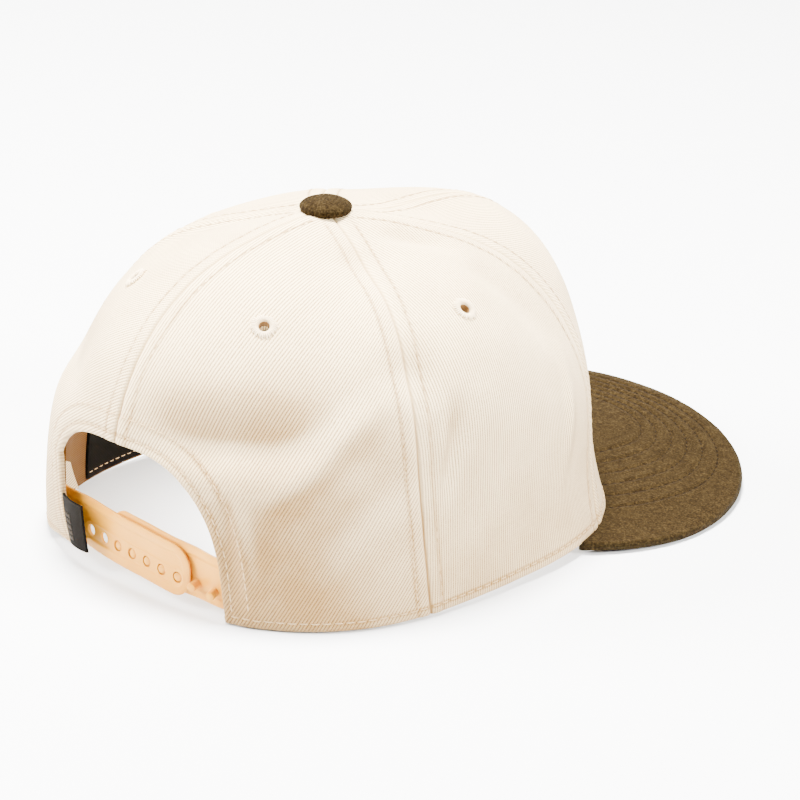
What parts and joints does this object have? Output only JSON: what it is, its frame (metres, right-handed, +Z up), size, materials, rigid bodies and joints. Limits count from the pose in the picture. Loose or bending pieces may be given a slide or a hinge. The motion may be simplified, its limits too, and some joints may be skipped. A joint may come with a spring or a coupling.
{
  "type": "snapback cap",
  "caption": "Snapback cap: structured panelled crown, flat stitched brim, covered button, sewn eyelets and a fastened plastic snap strap across the back opening.",
  "frame": {"origin": "bottom centre of the whole cap, on the plane that its rim rests on", "axes": "+Z up along the button's axis, -Y forward along the brim, +X to the wearer's left"},
  "size_m": [0.189, 0.2562, 0.1145],
  "materials": {
    "crown_twill": "cream cotton twill, matt",
    "eyelet_thread": "cream thread, soft sheen",
    "brown_wool": "speckled brown wool cloth, matt",
    "sweatband_cloth": "tan cotton, matt",
    "black_weave": "black woven tape, matt",
    "strap_plastic": "peach moulded plastic, satin"
  },
  "bodies": {
    "root": {"crown_back_right": "crown_twill", "crown_back_left": "crown_twill", "crown_side_right": "crown_twill", "crown_side_left": "crown_twill", "crown_front_right": "crown_twill", "crown_front_left": "crown_twill", "eyelet_back_right": "eyelet_thread", "eyelet_back_left": "eyelet_thread", "eyelet_side_right": "eyelet_thread", "eyelet_side_left": "eyelet_thread", "brim": "brown_wool", "button": "brown_wool", "sweatband": "sweatband_cloth", "inside_label": "black_weave", "side_tag": "black_weave", "strap_with_holes": "strap_plastic", "strap_with_pegs": "strap_plastic"}
  },
  "joints": []
}
